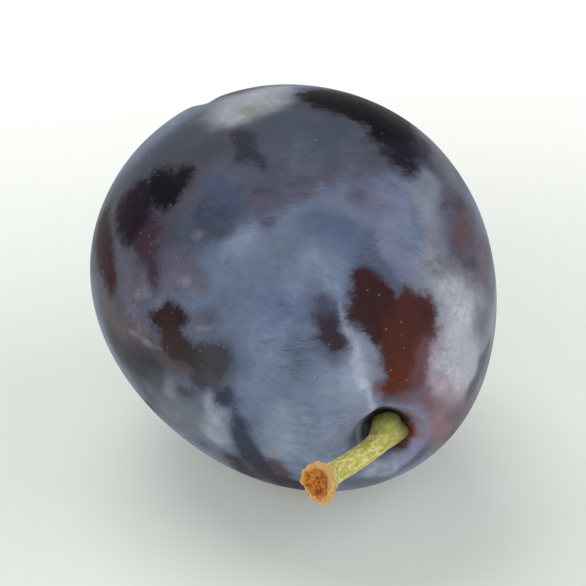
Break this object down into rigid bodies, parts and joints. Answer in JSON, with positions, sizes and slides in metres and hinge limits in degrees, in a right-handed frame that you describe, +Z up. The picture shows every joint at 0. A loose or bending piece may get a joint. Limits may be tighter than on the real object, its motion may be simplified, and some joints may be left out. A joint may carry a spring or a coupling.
{
  "type": "plum",
  "caption": "Whole oval blue plum with a waxy bloom, lying on its side, with its short woody stem still standing in the cavity at one end.",
  "frame": {"origin": "middle of the small flat spot that the plum lies on", "axes": "+Z up from the surface; the fruit's long axis lies along Y, with the stem end towards -Y and 13.5 degrees down; the suture is on top, leaning 17.5 degrees towards -X"},
  "size_m": [0.0384, 0.0523, 0.0367],
  "materials": {
    "bloomed_skin": "satin",
    "green_wood": "matte"
  },
  "bodies": {
    "root": {"fruit": "bloomed_skin", "stem": "green_wood"}
  },
  "joints": []
}
